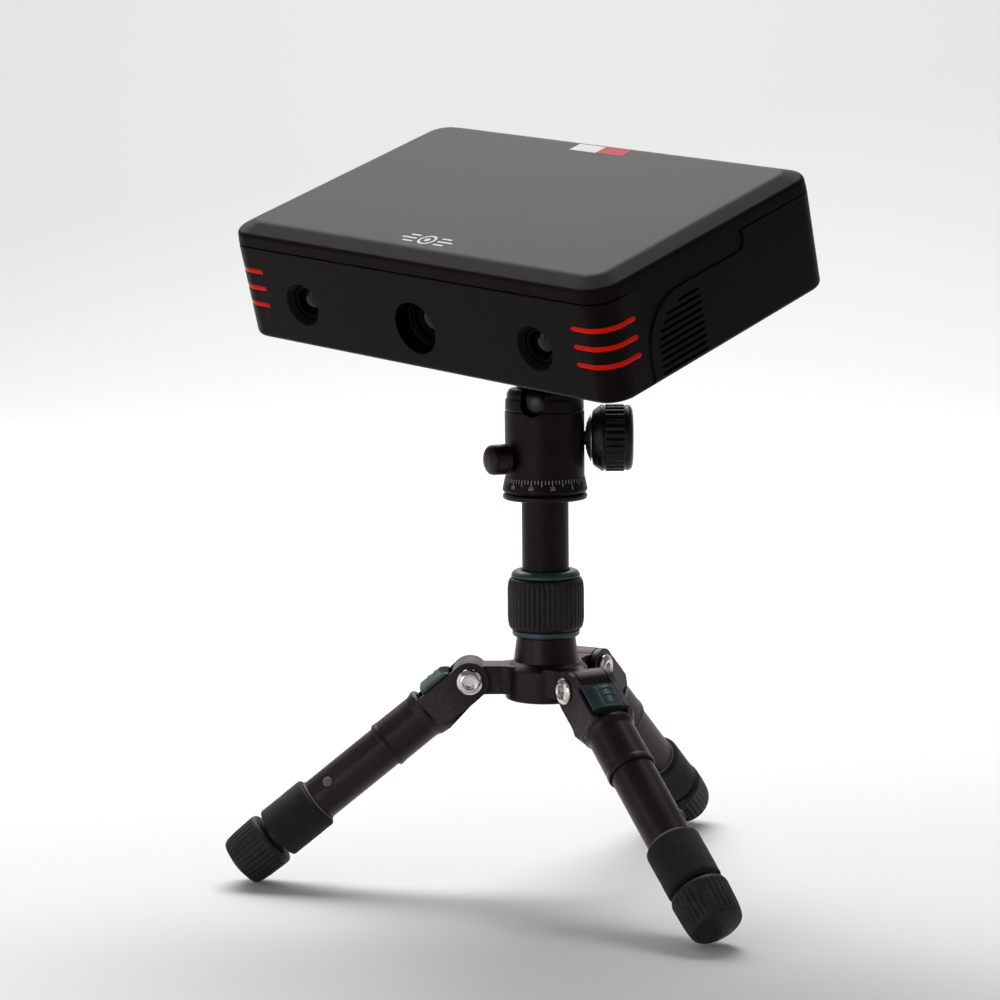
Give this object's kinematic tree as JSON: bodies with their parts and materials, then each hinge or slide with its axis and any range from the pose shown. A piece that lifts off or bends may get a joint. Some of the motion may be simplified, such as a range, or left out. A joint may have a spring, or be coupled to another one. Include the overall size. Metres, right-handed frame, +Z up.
{
  "type": "structured-light 3-D scanner on mini tripod",
  "caption": "Compact stereo 3-D scanner with a projector and light stripes, tilted on a ball head with quick-release clamp and a fold-out mini tripod.",
  "frame": {"origin": "bottom centre of the object's box at rest, on the plane the three rubber feet stand on", "axes": "+Z up along the centre column, -Y towards the side the front leg and the scanner's front corner face"},
  "size_m": [0.2782, 0.2862, 0.3554],
  "materials": {
    "anodised_black": "fine satin black anodised aluminium",
    "anodised_teal": "satin dark teal anodised aluminium",
    "chrome": "bright chrome",
    "steel": "turned steel",
    "knob_rubber": "ribbed moulded rubber",
    "foot_rubber": "fluted grey-black rubber",
    "foam": "matt black closed-cell foam",
    "casing_black": "fine-textured black moulding",
    "cover_charcoal": "charcoal paint with a fine metallic speckle",
    "stripe_red": "red translucent moulding",
    "detail_grey": "satin grey",
    "lens_glass": "coated lens glass",
    "circuit_board": "solder mask",
    "bare_aluminium": "milled aluminium",
    "nylon": "natural nylon"
  },
  "bodies": {
    "base": {"hub": "anodised_black", "collar_bottom_ring": "anodised_teal", "column_collet": "nylon"},
    "twist_collar": {"collar_grip": "knob_rubber", "collar_top_ring": "anodised_teal"},
    "column": {"column_tube": "anodised_black", "column_end_stop": "anodised_black", "pan_base": "anodised_black"},
    "leg_left": {"leg_left_bracket": "anodised_black", "leg_left_hinge_bolt": "chrome", "leg_left_outer_tube": "anodised_black", "leg_left_end_ring": "detail_grey"},
    "leg_left_tab": {"leg_left_lock_tab": "anodised_teal"},
    "leg_left_button": {"leg_left_extension_button": "detail_grey"},
    "leg_left_lower": {"leg_left_inner_tube": "anodised_black", "leg_left_foam_grip": "foam", "leg_left_rubber_foot": "foot_rubber"},
    "leg_front": {"leg_front_bracket": "anodised_black", "leg_front_hinge_bolt": "chrome", "leg_front_outer_tube": "anodised_black", "leg_front_end_ring": "detail_grey"},
    "leg_front_tab": {"leg_front_lock_tab": "anodised_teal"},
    "leg_front_button": {"leg_front_extension_button": "detail_grey"},
    "leg_front_lower": {"leg_front_inner_tube": "anodised_black", "leg_front_foam_grip": "foam", "leg_front_rubber_foot": "foot_rubber"},
    "leg_rear": {"leg_rear_bracket": "anodised_black", "leg_rear_hinge_bolt": "chrome", "leg_rear_outer_tube": "anodised_black", "leg_rear_end_ring": "detail_grey"},
    "leg_rear_tab": {"leg_rear_lock_tab": "anodised_teal"},
    "leg_rear_button": {"leg_rear_extension_button": "detail_grey"},
    "leg_rear_lower": {"leg_rear_inner_tube": "anodised_black", "leg_rear_foam_grip": "foam", "leg_rear_rubber_foot": "foot_rubber"},
    "head": {"head_housing": "anodised_black", "ball_brake": "nylon"},
    "pan_knob": {"pan_lock_knob": "anodised_black"},
    "ball_knob": {"ball_lock_knob": "anodised_black"},
    "ball": {"ball": "anodised_black"},
    "neck": {"neck": "anodised_black"},
    "scanner": {"clamp_body": "anodised_black", "quick_release_plate": "anodised_black", "camera_screw": "steel", "base_shell": "casing_black", "top_cover": "cover_charcoal", "port_panel": "casing_black", "sensor_rail": "bare_aluminium", "mainboard": "circuit_board", "heat_sink": "bare_aluminium", "projector_body": "casing_black", "projector_lens": "lens_glass", "stripe_inlay_left": "stripe_red", "stripe_inlay_right": "stripe_red", "camera_body_left": "casing_black", "camera_body_right": "casing_black", "camera_lens_left": "lens_glass", "camera_lens_right": "lens_glass"},
    "jaw": {"clamp_jaw": "anodised_black"},
    "clamp_screw": {"clamp_knob": "anodised_black"}
  },
  "joints": [
    {"name": "collar_twist", "type": "hinge", "parent": "base", "child": "twist_collar", "pos_m": [0.01472, 0.00705, 0.13375], "axis": [0, 0, 1], "range_deg": [0, 180]},
    {"name": "column_slide", "type": "slide", "parent": "base", "child": "column", "axis": [0, 0, 1], "range_m": [-0.032, 0]},
    {"name": "leg_left_fold", "type": "hinge", "parent": "base", "child": "leg_left", "pos_m": [-0.02128, 0.00674, 0.09815], "axis": [0.0087, -1, 0], "range_deg": [0, 51]},
    {"name": "leg_left_tab_slide", "type": "slide", "parent": "leg_left", "child": "leg_left_tab", "axis": [-0.7782, -0.0068, -0.628], "range_m": [0, 0.0024], "stiffness_N_per_m": 500, "springref_m": -0.001},
    {"name": "leg_left_extend", "type": "slide", "parent": "leg_left", "child": "leg_left_lower", "axis": [-0.7782, -0.0068, -0.628], "range_m": [0, 0.035]},
    {"name": "leg_left_button_press", "type": "slide", "parent": "leg_left", "child": "leg_left_button", "axis": [0.3064, 0.8687, -0.3891], "range_m": [0, 0.0006], "stiffness_N_per_m": 600, "springref_m": -0.0005},
    {"name": "leg_front_fold", "type": "hinge", "parent": "base", "child": "leg_front", "pos_m": [0.03299, -0.02396, 0.09815], "axis": [0.8616, 0.5075, 0], "range_deg": [0, 51]},
    {"name": "leg_front_tab_slide", "type": "slide", "parent": "leg_front", "child": "leg_front_tab", "axis": [0.395, -0.6706, -0.628], "range_m": [0, 0.0024], "stiffness_N_per_m": 500, "springref_m": -0.001},
    {"name": "leg_front_extend", "type": "slide", "parent": "leg_front", "child": "leg_front_lower", "axis": [0.395, -0.6706, -0.628], "range_m": [0, 0.035]},
    {"name": "leg_front_button_press", "type": "slide", "parent": "leg_front", "child": "leg_front_button", "axis": [-0.9056, -0.169, -0.3891], "range_m": [0, 0.0006], "stiffness_N_per_m": 600, "springref_m": -0.0005},
    {"name": "leg_rear_fold", "type": "hinge", "parent": "base", "child": "leg_rear", "pos_m": [0.03244, 0.03839, 0.09815], "axis": [-0.8704, 0.4924, 0], "range_deg": [0, 51]},
    {"name": "leg_rear_tab_slide", "type": "slide", "parent": "leg_rear", "child": "leg_rear_tab", "axis": [0.3832, 0.6773, -0.628], "range_m": [0, 0.0024], "stiffness_N_per_m": 500, "springref_m": -0.001},
    {"name": "leg_rear_extend", "type": "slide", "parent": "leg_rear", "child": "leg_rear_lower", "axis": [0.3832, 0.6773, -0.628], "range_m": [0, 0.035]},
    {"name": "leg_rear_button_press", "type": "slide", "parent": "leg_rear", "child": "leg_rear_button", "axis": [0.5991, -0.6997, -0.3891], "range_m": [0, 0.0006], "stiffness_N_per_m": 600, "springref_m": -0.0005},
    {"name": "head_pan", "type": "hinge", "parent": "column", "child": "head", "pos_m": [0.01472, 0.00705, 0.18575], "axis": [0, 0, 1], "continuous": true},
    {"name": "pan_knob_turn", "type": "hinge", "parent": "head", "child": "pan_knob", "pos_m": [0.01472, 0.00705, 0.20275], "axis": [-0.866, -0.5, 0], "range_deg": [0, 270]},
    {"name": "ball_knob_turn", "type": "hinge", "parent": "head", "child": "ball_knob", "pos_m": [0.01472, 0.00705, 0.21135], "axis": [1, 0, 0], "range_deg": [0, 270]},
    {"name": "tilt_forward", "type": "hinge", "parent": "head", "child": "ball", "pos_m": [0.01472, 0.00705, 0.22855], "axis": [0.7046, -0.7096, 0], "range_deg": [-56.9, 19.1]},
    {"name": "tilt_sideways", "type": "hinge", "parent": "ball", "child": "neck", "pos_m": [0.01472, 0.00705, 0.22855], "axis": [0.6713, 0.6666, 0.3239], "range_deg": [-23.4, 12.6]},
    {"name": "ball_spin", "type": "hinge", "parent": "neck", "child": "scanner", "pos_m": [0.01472, 0.00705, 0.22855], "axis": [-0.1625, -0.294, 0.9419], "continuous": true},
    {"name": "jaw_slide", "type": "slide", "parent": "scanner", "child": "jaw", "axis": [0.6713, 0.6666, 0.3239], "range_m": [0, 0.0025]},
    {"name": "clamp_knob_turn", "type": "hinge", "parent": "jaw", "child": "clamp_screw", "pos_m": [0.00994, -0.00159, 0.25624], "axis": [0.6713, 0.6666, 0.3239], "range_deg": [0, 720]}
  ],
  "couplings": [
    {"joint": "clamp_knob_turn", "follows": "jaw_slide", "rad_per_m": 5026.5}
  ]
}
